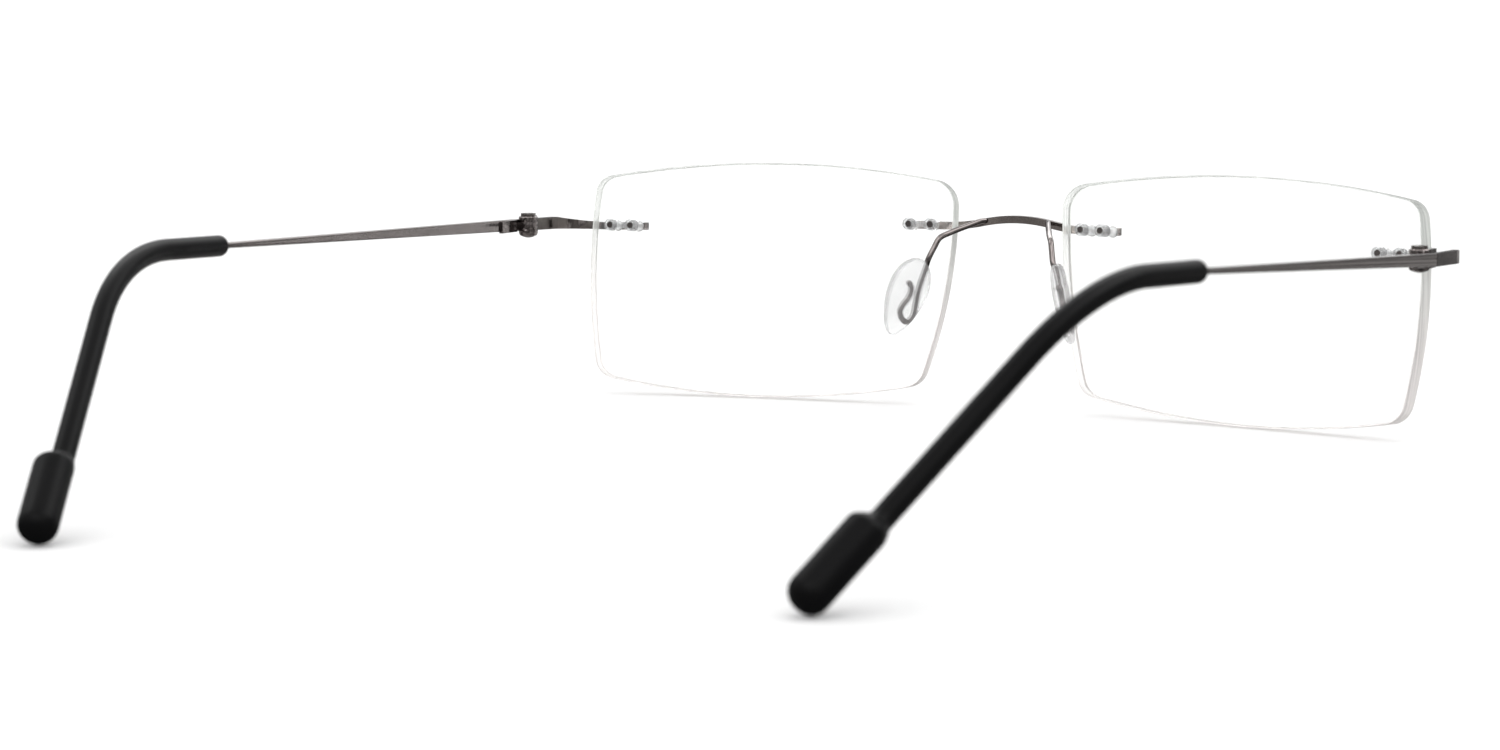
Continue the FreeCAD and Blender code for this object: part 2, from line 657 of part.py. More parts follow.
def circle_at(body, name, start, radius, rise=None):
    """Circle across the body's X axis at the given distance along it."""
    sk = sketch_on(body, name, "YZ_Plane")
    sk.AttachmentOffset = PL(V(0, 0, value_of(start)), ROT())
    sk.setExpression("AttachmentOffset.Base.z", names(start))
    off = value_of(rise) if rise else 0.0
    sk.addGeometry(Part.Circle(V(0, off, 0), DZ, value_of(radius)), False)
    if rise:
        sk.addConstraint(Sketcher.Constraint("PointOnObject", 0, 3, -2))
        c = sk.addConstraint(Sketcher.Constraint("DistanceY", -1, 1, 0, 3, off))
        sk.renameConstraint(c, "offset")
        sk.setExpression("Constraints.offset", names(rise))
    else:
        sk.addConstraint(Sketcher.Constraint("Coincident", 0, 3, -1, 1))
    c = sk.addConstraint(Sketcher.Constraint("Radius", 0, value_of(radius)))
    sk.renameConstraint(c, "ring")
    sk.setExpression("Constraints.ring", names(radius))
    return sk


def temple(side):
    """One temple, drawn on the wearer's left: a flat bar from the hinge to the
    sleeve's mouth, then a sleeved wire round the ear bend down to the bulb."""
    A = V(value_of("bar_out_x - bar_thick / 2"), value_of("hinge_y + butt_gap"), HZ)
    S = V(val("mouth_x"), val("mouth_y"), val("mouth_z_" + side))
    B = V(val("bend_x"), val("bend_y"), val("bend_z_" + side))
    T = V(val("tip_x_" + side), val("tip_y"), val("tip_z"))
    d0 = (S - A).normalize()
    d1 = (B - S).normalize()
    d2 = (T - B).normalize()
    nrm = d1.cross(d2).normalize()          # out of the bend's plane
    away = nrm.cross(d1) * -1.0             # in the plane, away from the drop
    turn = math.acos(d1.dot(d2))
    tag = "_" + side
    for alias, value in (("bar_run", (S - A).Length), ("bend_run", (B - S).Length),
                         ("drop_run", (T - B).Length),
                         ("bend_tangent", val("bend_radius") * math.tan(turn / 2)),
                         ("bend_cos", math.cos(turn)), ("bend_sin", math.sin(turn))):
        add_cell(alias + tag, value)
    doc.recompute()
    run, drop, tan = "bend_run" + tag, "drop_run" + tag, "bend_tangent" + tag
    bc, bs = "bend_cos" + tag, "bend_sin" + tag
    place = frame(S, d1, away)

    def piped(name, start, stop, radius):
        b = new_body(name + tag)
        p = sketch_on(b, name + "_path" + tag, "XZ_Plane")
        outline(p,
                [(start, "0"), (run + " - " + tan, "0"),
                 (run + " + " + tan + " * " + bc, "0 - " + tan + " * " + bs),
                 (run + " + (" + drop + " - " + stop + ") * " + bc,
                  "0 - (" + drop + " - " + stop + ") * " + bs)],
                [None, ("bend_radius", 1), None], closed=False)
        c = circle_at(b, name + "_ring" + tag, start, radius)
        q = b.newObject("PartDesign::AdditivePipe", name + "_pipe" + tag)
        q.Profile = c
        q.Spine = p
        q.Mode = "Standard"
        b.Tip = q
        b.Placement = place
        return b

    core = piped("temple_core", "0 - core_lap", "core_stop", "wire_core")
    sleeve = piped("temple_sleeve_solid", "0", "bulb_long", "sleeve_radius")

    # flat bar: tapers from the hinge to the core wire
    bar = new_body("temple_flat_bar" + tag)
    s1 = sketch_on(bar, "bar_section_hinge" + tag, "YZ_Plane")
    hh, ht, wc = "bar_half_high", "bar_thick / 2", "wire_core"
    outline(s1, [(neg(ht), neg(hh)), (ht, neg(hh)), (ht, hh), (neg(ht), hh)], [None] * 4)
    s2 = sketch_on(bar, "bar_section_mouth" + tag, "YZ_Plane")
    end = "bar_run" + tag + " - 0.15"
    s2.AttachmentOffset = PL(V(0, 0, value_of(end)), ROT())
    s2.setExpression("AttachmentOffset.Base.z", names(end))
    outline(s2, [(neg(wc), neg(wc)), (wc, neg(wc)), (wc, wc), (neg(wc), wc)], [None] * 4)
    loft = bar.newObject("PartDesign::AdditiveLoft", "bar_loft" + tag)
    loft.Profile = s1
    loft.Sections = [s2]
    loft.Ruled = True
    bar.Tip = loft
    up = (DZ - d0 * DZ.dot(d0)).normalize()
    bar.Placement = frame(A, d0, up)

    out = {}
    out["temple_bar"] = fuse("temple_bar_raw" + tag, [bar, core])
    out["hinge_rear"] = cut("hinge_rear_trimmed" + tag, rear_bored, bar)
    out["temple_sleeve"] = cut("temple_sleeve_hollow" + tag, sleeve, core)

    # tip: a bulb set off to the outside of the bend, flush with the sleeve inside
    tip_frame = frame(T, d2 * -1.0, nrm.cross(d2) * -1.0)
    bulb = new_body("temple_tip_bulb" + tag)
    sk = circle_at(bulb, "bulb_ring" + tag, "0", "bulb_radius", "bulb_radius - sleeve_radius")
    bpad = pad(bulb, sk, "bulb_pad" + tag, "bulb_long", both=False)
    doc.recompute()
    edge = ["Edge%d" % i for i, e in enumerate(bpad.Shape.Edges, start=1)
            if e.BoundBox.XLength < 1e-4 and e.BoundBox.XMax < 1]
    f1 = fillet(bulb, bpad, "bulb_tip_round" + tag, edge, "bulb_end_round")
    doc.recompute()
    edge = ["Edge%d" % i for i, e in enumerate(f1.Shape.Edges, start=1)
            if e.BoundBox.XLength < 1e-4 and abs(e.BoundBox.XMax - val("bulb_long")) < 1e-3]
    fillet(bulb, f1, "bulb_shoulder" + tag, edge, "bulb_shoulder_round")
    doc.recompute()
    bulb.Placement = tip_frame
    slant = box("bulb_slant" + tag, "6", "8", "6", PL())
    slant.Placement = tip_frame.multiply(
        PL(V(val("bulb_long") - 1.9, -4, val("bulb_radius") * 2 - val("sleeve_radius")), ROT(V(0, 1, 0), 34)))
    out["temple_tip"] = cut("temple_tip_bored" + tag, cut("temple_tip_slanted" + tag, bulb, slant), core)
    doc.recompute()
    length = (S - A).Length + (B - S).Length + (T - B).Length - val("bend_radius") * (2 * math.tan(turn / 2) - turn)
    print(side, "temple: hinge to tip %.2f mm, bend %.1f degrees" % (length, math.degrees(turn)))
    print("  tip axis", T, d2, tip_frame.Rotation.multVec(DZ))
    return out


rear_bored = cut("hinge_rear_bored", rear_raw, bore_r)
for label, ob in temple("left").items():
    keep(label + "_left", ob)
for label, ob in temple("right").items():
    keep(label + "_right", mirror(label + "_right_mirror", ob))

# ---------------------------------------------------------------- right side
for label in [k for k in SUBPARTS if k.endswith("_left")]:
    right = label[:-5] + "_right"
    if right in SUBPARTS:
        continue
    keep(right, mirror(right + "_mirror", SUBPARTS[label]))
doc.recompute()

# ---------------------------------------------------------------- checks
bad = []
for o in doc.Objects:
    if "Invalid" in o.State or "Error" in o.State:
        bad.append("%s %s" % (o.Name, o.State))
for label, o in SUBPARTS.items():
    if o.Shape.isNull() or not o.Shape.isValid() or not o.Shape.Solids:
        bad.append("%s shape" % label)
if bad:
    raise SystemExit("failed objects: " + "; ".join(bad))

os.makedirs("parts", exist_ok=True)
for label, o in SUBPARTS.items():
    o.Shape.exportStep("parts/%s.step" % label)
total = None
for label, o in sorted(SUBPARTS.items()):
    bb = o.Shape.optimalBoundingBox(False)
    total = FreeCAD.BoundBox(bb) if total is None else total
    total.add(bb)
    print("%-28s solids %d  vol %9.3f  x %7.2f %7.2f  y %7.2f %7.2f  z %6.2f %6.2f" % (
        label, len(o.Shape.Solids), o.Shape.Volume, bb.XMin, bb.XMax, bb.YMin, bb.YMax, bb.ZMin, bb.ZMax))
print("whole", total)
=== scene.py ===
import bpy, bmesh, math, json
from mathutils import Vector, Matrix
from mathutils.geometry import delaunay_2d_cdt


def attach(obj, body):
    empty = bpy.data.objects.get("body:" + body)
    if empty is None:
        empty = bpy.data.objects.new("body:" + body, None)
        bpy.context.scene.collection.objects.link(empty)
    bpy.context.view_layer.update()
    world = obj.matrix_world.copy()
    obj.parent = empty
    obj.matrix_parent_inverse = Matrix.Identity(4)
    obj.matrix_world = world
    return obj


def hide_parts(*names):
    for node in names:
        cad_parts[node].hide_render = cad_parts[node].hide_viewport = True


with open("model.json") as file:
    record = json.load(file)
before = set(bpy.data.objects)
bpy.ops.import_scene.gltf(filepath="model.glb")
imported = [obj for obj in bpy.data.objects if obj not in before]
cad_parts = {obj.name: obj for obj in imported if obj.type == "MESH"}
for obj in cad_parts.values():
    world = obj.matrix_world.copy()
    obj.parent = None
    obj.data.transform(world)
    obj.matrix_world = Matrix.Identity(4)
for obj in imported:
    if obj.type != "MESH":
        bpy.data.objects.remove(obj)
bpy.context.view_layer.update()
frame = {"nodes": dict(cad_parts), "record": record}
scene = bpy.context.scene
MM = 0.001


# ------------------------------------------------------------------ mesh helpers
def make(name, verts, faces, mats, body, nodes, smooth=True, face_mat=None, sharp=None):
    """A mesh piece from millimetre points that stands for some CAD nodes."""
    me = bpy.data.meshes.new(name)
    me.from_pydata([tuple(c * MM for c in v) for v in verts], [], faces)
    for m in mats:
        me.materials.append(m)
    for i, p in enumerate(me.polygons):
        p.use_smooth = smooth
        if face_mat:
            p.material_index = face_mat[i]
    ob = bpy.data.objects.new(name, me)
    scene.collection.objects.link(ob)
    if sharp is not None:
        mark_sharp(me, sharp)
    me.validate()
    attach(ob, body)
    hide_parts(*nodes)
    return ob


def mark_sharp(me, degrees):
    bm = bmesh.new()
    bm.from_mesh(me)
    lim = math.radians(degrees)
    for e in bm.edges:
        if len(e.link_faces) != 2 or e.calc_face_angle(0.0) > lim:
            e.smooth = False
    bm.to_mesh(me)
    bm.free()


def refined(node, name, mat, body, width=0.10, segs=2, angle=32.0, drop=1.0):
    """A copy of a CAD node with its seams welded and its edges rounded."""
    src = frame["nodes"][node]
    bm = bmesh.new()
    bm.from_mesh(src.data)
    bmesh.ops.remove_doubles(bm, verts=bm.verts[:], dist=2e-7)
    bmesh.ops.dissolve_limit(bm, angle_limit=math.radians(drop), verts=bm.verts[:], edges=bm.edges[:])
    lim = math.radians(angle)
    edges = [e for e in bm.edges if len(e.link_faces) == 2 and e.calc_face_angle(0.0) > lim]
    if width > 0 and edges:
        bmesh.ops.bevel(bm, geom=edges, offset=width * MM, offset_type="OFFSET", segments=segs,
                        profile=0.5, affect="EDGES", clamp_overlap=True)
    for f in bm.faces:
        f.smooth = True
    for e in bm.edges:
        if len(e.link_faces) != 2 or e.calc_face_angle(0.0) > math.radians(38):
            e.smooth = False
    me = bpy.data.meshes.new(name)
    bm.to_mesh(me)
    bm.free()
    me.materials.append(mat)
    ob = bpy.data.objects.new(name, me)
    scene.collection.objects.link(ob)
    wn = ob.modifiers.new("even_normals", "WEIGHTED_NORMAL")
    wn.keep_sharp = True
    wn.weight = 60
    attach(ob, body)
    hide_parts(node)
    return ob


def rings_to_faces(n_rings, n, flip=False, caps=(True, True)):
    faces = []
    for k in range(n_rings - 1):
        a, b = k * n, (k + 1) * n
        for i in range(n):
            j = (i + 1) % n
            q = (a + i, a + j, b + j, b + i)
            faces.append(tuple(reversed(q)) if flip else q)
    first = tuple(range(n))
    last = tuple(range((n_rings - 1) * n, n_rings * n))
    if caps[0]:
        faces.append(first if flip else tuple(reversed(first)))
    if caps[1]:
        faces.append(tuple(reversed(last)) if flip else last)
    return faces


# ------------------------------------------------------------------ materials
def new_mat(name):
    m = bpy.data.materials.new(name)
    m.use_nodes = True
    nt = m.node_tree
    nt.nodes.clear()
    out = nt.nodes.new("ShaderNodeOutputMaterial")
    return m, nt, out


def node(nt, kind, **kw):
    n = nt.nodes.new(kind)
    for k, v in kw.items():
        if k in ("operation", "blend_type", "data_type", "noise_dimensions", "interpolation_type", "wave_type", "bands_direction", "feature", "clamp", "invert"):
            setattr(n, k, v)
        else:
            n.inputs[k].default_value = v
    return n


def metal(name, base, rough=0.16, dark=0.55):
    m, nt, out = new_mat(name)
    L = nt.links.new
    tc = nt.nodes.new("ShaderNodeTexCoord")
    p = node(nt, "ShaderNodeBsdfPrincipled")
    p.inputs["Metallic"].default_value = 1.0
    n1 = node(nt, "ShaderNodeTexNoise", Scale=900.0, Detail=4.0, Roughness=0.6)
    L(tc.outputs["Object"], n1.inputs["Vector"])
    n2 = node(nt, "ShaderNodeTexNoise", Scale=90.0, Detail=2.0)
    L(tc.outputs["Object"], n2.inputs["Vector"])
    ramp = nt.nodes.new("ShaderNodeValToRGB")
    ramp.color_ramp.elements[0].position = 0.30
    ramp.color_ramp.elements[1].position = 0.75
    ramp.color_ramp.elements[0].color = (*[c * 0.86 for c in base], 1)
    ramp.color_ramp.elements[1].color = (*[min(1, c * 1.12) for c in base], 1)
    L(n2.outputs["Fac"], ramp.inputs["Fac"])
    L(ramp.outputs["Color"], p.inputs["Base Color"])
    mr = nt.nodes.new("ShaderNodeMapRange")
    mr.inputs["To Min"].default_value = rough * 0.75
    mr.inputs["To Max"].default_value = rough * 1.35
    L(n1.outputs["Fac"], mr.inputs["Value"])
    L(mr.outputs["Result"], p.inputs["Roughness"])
    bump = node(nt, "ShaderNodeBump", Strength=0.05, Distance=0.00002)
    L(n1.outputs["Fac"], bump.inputs["Height"])
    L(bump.outputs["Normal"], p.inputs["Normal"])
    L(p.outputs["BSDF"], out.inputs["Surface"])
    return m


def clear(name, tint, ior, rough, shadow=0.9, haze=0.0, through=0.0, hue=(0.9, 0.9, 0.9)):
    m, nt, out = new_mat(name)
    L = nt.links.new
    tc = nt.nodes.new("ShaderNodeTexCoord")
    g = node(nt, "ShaderNodeBsdfPrincipled")
    g.inputs["Base Color"].default_value = (*tint, 1)
    g.inputs["Transmission Weight"].default_value = 1.0
    g.inputs["IOR"].default_value = ior
    n1 = node(nt, "ShaderNodeTexNoise", Scale=400.0, Detail=3.0)
    L(tc.outputs["Object"], n1.inputs["Vector"])
    mr = nt.nodes.new("ShaderNodeMapRange")
    mr.inputs["To Min"].default_value = rough
    mr.inputs["To Max"].default_value = rough * 1.6 + 0.002
    L(n1.outputs["Fac"], mr.inputs["Value"])
    L(mr.outputs["Result"], g.inputs["Roughness"])
    body = g
    if through > 0:
        # part of the light goes straight through, so that what is inside stays readable
        st = node(nt, "ShaderNodeBsdfTransparent")
        st.inputs["Color"].default_value = (*tint, 1)
        ms = nt.nodes.new("ShaderNodeMixShader")
        ms.inputs["Fac"].default_value = through
        L(body.outputs[0], ms.inputs[1])
        L(st.outputs["BSDF"], ms.inputs[2])
        body = ms
    if haze > 0:
        n2 = node(nt, "ShaderNodeTexNoise", Scale=260.0, Detail=3.0)
        L(tc.outputs["Object"], n2.inputs["Vector"])
        tl = nt.nodes.new("ShaderNodeBsdfTranslucent")
        df = nt.nodes.new("ShaderNodeBsdfDiffuse")
        tl.inputs["Color"].default_value = (*hue, 1)
        df.inputs["Color"].default_value = (*hue, 1)
        md = nt.nodes.new("ShaderNodeMixShader")
        L(tl.outputs["BSDF"], md.inputs[1])
        L(df.outputs["BSDF"], md.inputs[2])
        hz = nt.nodes.new("ShaderNodeMapRange")
        hz.inputs["To Min"].default_value = haze * 0.8
        hz.inputs["To Max"].default_value = haze * 1.2
        L(n2.outputs["Fac"], hz.inputs["Value"])
        mh = nt.nodes.new("ShaderNodeMixShader")
        L(hz.outputs["Result"], mh.inputs["Fac"])
        L(body.outputs[0], mh.inputs[1])
        L(md.outputs["Shader"], mh.inputs[2])
        body = mh
    t = node(nt, "ShaderNodeBsdfTransparent")
    t.inputs["Color"].default_value = (shadow, shadow, shadow, 1)
    lp = nt.nodes.new("ShaderNodeLightPath")
    mix = nt.nodes.new("ShaderNodeMixShader")
    L(lp.outputs["Is Shadow Ray"], mix.inputs["Fac"])
    L(body.outputs[0], mix.inputs[1])
    L(t.outputs["BSDF"], mix.inputs[2])
    L(mix.outputs["Shader"], out.inputs["Surface"])
    return m


def black(name, rough=0.38):
    m, nt, out = new_mat(name)
    L = nt.links.new
    tc = nt.nodes.new("ShaderNodeTexCoord")
    p = node(nt, "ShaderNodeBsdfPrincipled")
    n1 = node(nt, "ShaderNodeTexNoise", Scale=1800.0, Detail=5.0, Roughness=0.65)
    n2 = node(nt, "ShaderNodeTexNoise", Scale=120.0, Detail=3.0)
    L(tc.outputs["Object"], n1.inputs["Vector"])
    L(tc.outputs["Object"], n2.inputs["Vector"])
    ramp = nt.nodes.new("ShaderNodeValToRGB")
    ramp.color_ramp.elements[0].color = (0.0020, 0.0020, 0.0022, 1)
    ramp.color_ramp.elements[1].color = (0.0045, 0.0045, 0.0048, 1)
    L(n2.outputs["Fac"], ramp.inputs["Fac"])
    L(ramp.outputs["Color"], p.inputs["Base Color"])
    mr = nt.nodes.new("ShaderNodeMapRange")
    mr.inputs["To Min"].default_value = rough * 0.8
    mr.inputs["To Max"].default_value = rough * 1.3
    L(n1.outputs["Fac"], mr.inputs["Value"])
    L(mr.outputs["Result"], p.inputs["Roughness"])
    p.inputs["IOR"].default_value = 1.45
    p.inputs["Specular IOR Level"].default_value = 0.055
    bump = node(nt, "ShaderNodeBump", Strength=0.15, Distance=0.00003)
    L(n1.outputs["Fac"], bump.inputs["Height"])
    L(bump.outputs["Normal"], p.inputs["Normal"])
    L(p.outputs["BSDF"], out.inputs["Surface"])
    return m


def wall_mat(name, low, high, painted_glow=0.16):
    """Polished edge of the lens: clear with a white haze plus a painted glow (an emission in its own colour),
    fine streaks along the edge, a tint that shifts a little with height and painted shade on the upper and lower
    edges."""
    m, nt, out = new_mat(name)
    L = nt.links.new
    tc = nt.nodes.new("ShaderNodeTexCoord")
    g = node(nt, "ShaderNodeBsdfPrincipled")
    g.inputs["Transmission Weight"].default_value = 1.0
    g.inputs["IOR"].default_value = 1.5
    g.inputs["Roughness"].default_value = 0.05
    sep = nt.nodes.new("ShaderNodeSeparateXYZ")
    L(tc.outputs["Object"], sep.inputs[0])
    zr = nt.nodes.new("ShaderNodeMapRange")
    zr.inputs["From Min"].default_value = 0.004
    zr.inputs["From Max"].default_value = 0.031
    L(sep.outputs["Z"], zr.inputs["Value"])
    tint = nt.nodes.new("ShaderNodeValToRGB")
    tint.color_ramp.elements[0].position = 0.25
    tint.color_ramp.elements[1].position = 0.85
    tint.color_ramp.elements[0].color = (*low, 1)
    tint.color_ramp.elements[1].color = (*high, 1)
    L(zr.outputs["Result"], tint.inputs["Fac"])
    # streaks: noise drawn out round the outline, fine across the edge
    mp = nt.nodes.new("ShaderNodeMapping")
    mp.inputs["Scale"].default_value = (60.0, 2600.0, 60.0)
    L(tc.outputs["Object"], mp.inputs["Vector"])
    st = node(nt, "ShaderNodeTexNoise", Scale=1.0, Detail=3.0)
    L(mp.outputs["Vector"], st.inputs["Vector"])
    sr = nt.nodes.new("ShaderNodeValToRGB")
    sr.color_ramp.elements[0].position = 0.38
    sr.color_ramp.elements[1].position = 0.62
    sr.color_ramp.elements[0].color = (0.74, 0.74, 0.74, 1)
    sr.color_ramp.elements[1].color = (1.0, 1.0, 1.0, 1)
    L(st.outputs["Fac"], sr.inputs["Fac"])
    mul = nt.nodes.new("ShaderNodeMix")
    mul.data_type = "RGBA"
    mul.blend_type = "MULTIPLY"
    mul.inputs["Factor"].default_value = 1.0
    L(tint.outputs["Color"], mul.inputs[6])
    L(sr.outputs["Color"], mul.inputs[7])
    # the upper and lower edges face away from the light and read darker
    ge = nt.nodes.new("ShaderNodeNewGeometry")
    gs = nt.nodes.new("ShaderNodeSeparateXYZ")
    L(ge.outputs["Normal"], gs.inputs[0])
    ab = nt.nodes.new("ShaderNodeMath")
    ab.operation = "ABSOLUTE"
    L(gs.outputs["Z"], ab.inputs[0])
    fr = nt.nodes.new("ShaderNodeMapRange")
    fr.inputs["From Min"].default_value = 0.35
    fr.inputs["From Max"].default_value = 0.85
    fr.inputs["To Min"].default_value = 1.0
    fr.inputs["To Max"].default_value = 0.74
    L(ab.outputs[0], fr.inputs["Value"])
    dim = nt.nodes.new("ShaderNodeMix")
    dim.data_type = "RGBA"
    dim.blend_type = "MULTIPLY"
    dim.inputs["Factor"].default_value = 1.0
    L(mul.outputs[2], dim.inputs[6])
    L(fr.outputs["Result"], dim.inputs[7])
    colour = dim.outputs[2]
    L(colour, g.inputs["Base Color"])
    t = nt.nodes.new("ShaderNodeBsdfTranslucent")
    d = nt.nodes.new("ShaderNodeBsdfDiffuse")
    L(colour, t.inputs["Color"])
    L(colour, d.inputs["Color"])
    td = nt.nodes.new("ShaderNodeMixShader")
    td.inputs["Fac"].default_value = 0.5
    L(t.outputs["BSDF"], td.inputs[1])
    L(d.outputs["BSDF"], td.inputs[2])
    mx = nt.nodes.new("ShaderNodeMixShader")
    mx.inputs["Fac"].default_value = 0.62
    L(g.outputs["BSDF"], mx.inputs[1])
    L(td.outputs["Shader"], mx.inputs[2])
    # painted glow: an emission in the edge's own colour, painted shade included, brightens the edge although it is
    # no lamp
    em = nt.nodes.new("ShaderNodeEmission")
    em.inputs["Strength"].default_value = painted_glow
    L(colour, em.inputs["Color"])
    ad = nt.nodes.new("ShaderNodeAddShader")
    L(mx.outputs["Shader"], ad.inputs[0])
    L(em.outputs["Emission"], ad.inputs[1])
    tr = node(nt, "ShaderNodeBsdfTransparent")
    tr.inputs["Color"].default_value = (0.88, 0.88, 0.88, 1)
    lp = nt.nodes.new("ShaderNodeLightPath")
    mix = nt.nodes.new("ShaderNodeMixShader")
    L(lp.outputs["Is Shadow Ray"], mix.inputs["Fac"])
    L(ad.outputs["Shader"], mix.inputs[1])
    L(tr.outputs["BSDF"], mix.inputs[2])
    L(mix.outputs["Shader"], out.inputs["Surface"])
    return m


METAL = metal("gunmetal", (0.16, 0.142, 0.138), rough=0.09)
# painted light: the bridge gets a copy of the gunmetal with about twice as light a base colour, so it reads lighter
# as if it caught more light
BRIDGE_PAINTED_LIGHTER = metal("gunmetal_bridge_painted_lighter", (0.33, 0.295, 0.28), rough=0.13)
FASTENER = metal("fastener_gunmetal", (0.15, 0.135, 0.13), rough=0.22)
LENS = clear("lens_clear", (0.985, 0.99, 0.985), 1.5, 0.0, 0.93)
SLEEVE = clear("sleeve_clear", (0.93, 0.94, 0.94), 1.44, 0.04, 0.85, haze=0.16, through=0.50, hue=(0.72, 0.72, 0.73))
PAD = clear("pad_silicone", (0.955, 0.957, 0.955), 1.36, 0.08, 0.88, haze=0.18, through=0.55, hue=(0.66, 0.66, 0.67))
BLACK = black("tip_black", 0.34)
# lens edge and drilled-hole materials: painted shade on the upper and lower edges, and the last number is the
# strength of their painted glow
LENS_WALL = wall_mat("lens_polished_edge", (0.96, 0.92, 0.905), (0.87, 0.895, 0.86), 0.06)
LENS_HOLE = wall_mat("lens_drilled_hole", (0.86, 0.86, 0.86), (0.88, 0.88, 0.88), 0.03)

by_slot = {"lens": LENS, "frame_metal": METAL, "fastener_metal": FASTENER,
           "sleeve_plastic": SLEEVE, "pad_silicone": PAD, "tip_black": BLACK}
slot_of = {s["node"]: s["material_slot"] for s in frame["record"]["subparts"]}
for name, ob in frame["nodes"].items():
    ob.data.materials.clear()
    ob.data.materials.append(by_slot[slot_of[name]])

# ------------------------------------------------------------------ lenses
LENS_C = Vector((35.85, -76.415, 16.58))
LENS_R = Matrix.Rotation(math.radians(9.03), 3, "Z") @ Matrix.Rotation(math.radians(5.61), 3, "X")
R_FRONT, T_LENS = 190.0, 3.0


def arc_data(a, b, r):
    """Centre of the arc of radius r from a to b that bulges to the left of travel."""
    a, b = Vector(a), Vector(b)
    d = b - a
    c = d.length
    n = Vector((-d.y, d.x)) / c
    return (a + b) / 2 - n * math.sqrt(r * r - c * c / 4)


def lens_outline():
    P = [(-27.36, 14.15), (25.66, 14.06), (24.92, -14.36), (-22.92, -14.14)]
    R = [136.6, 80.2, 116.6, 75.9]
    F = [3.8, 2.8, 3.2, 3.2]
    C = [arc_data(P[i], P[(i + 1) % 4], R[i]) for i in range(4)]
    fil = []
    for i in range(4):
        c0, r0 = C[i - 1], R[i - 1] - F[i]
        c1, r1 = C[i], R[i] - F[i]
        d = (c1 - c0)
        L = d.length
        x = (L * L + r0 * r0 - r1 * r1) / (2 * L)
        h = math.sqrt(max(r0 * r0 - x * x, 0))
        u = d / L
        v = Vector((-u.y, u.x))
        cand = [c0 + u * x + v * h, c0 + u * x - v * h]
        fc = min(cand, key=lambda q: (q - Vector(P[i])).length)
        t0 = c0 + (fc - c0).normalized() * R[i - 1]
        t1 = c1 + (fc - c1).normalized() * R[i]
        fil.append((fc, t0, t1))
    pts, nor = [], []

    def sweep(c, a, b, n, last=False):
        a0 = math.atan2(a.y - c.y, a.x - c.x)
        a1 = math.atan2(b.y - c.y, b.x - c.x)
        d = (a1 - a0 + math.pi) % (2 * math.pi) - math.pi
        r = (a - c).length
        for k in range(n):
            t = a0 + d * k / n
            nv = Vector((math.cos(t), math.sin(t)))
            pts.append(c + nv * r)
            nor.append(nv)
    for i in range(4):
        fc, t0, t1 = fil[i]
        sweep(fc, t0, t1, 12)
        nxt = fil[(i + 1) % 4][1]
        sweep(C[i], t1, nxt, int((nxt - t1).length / 0.9))
    return pts, nor


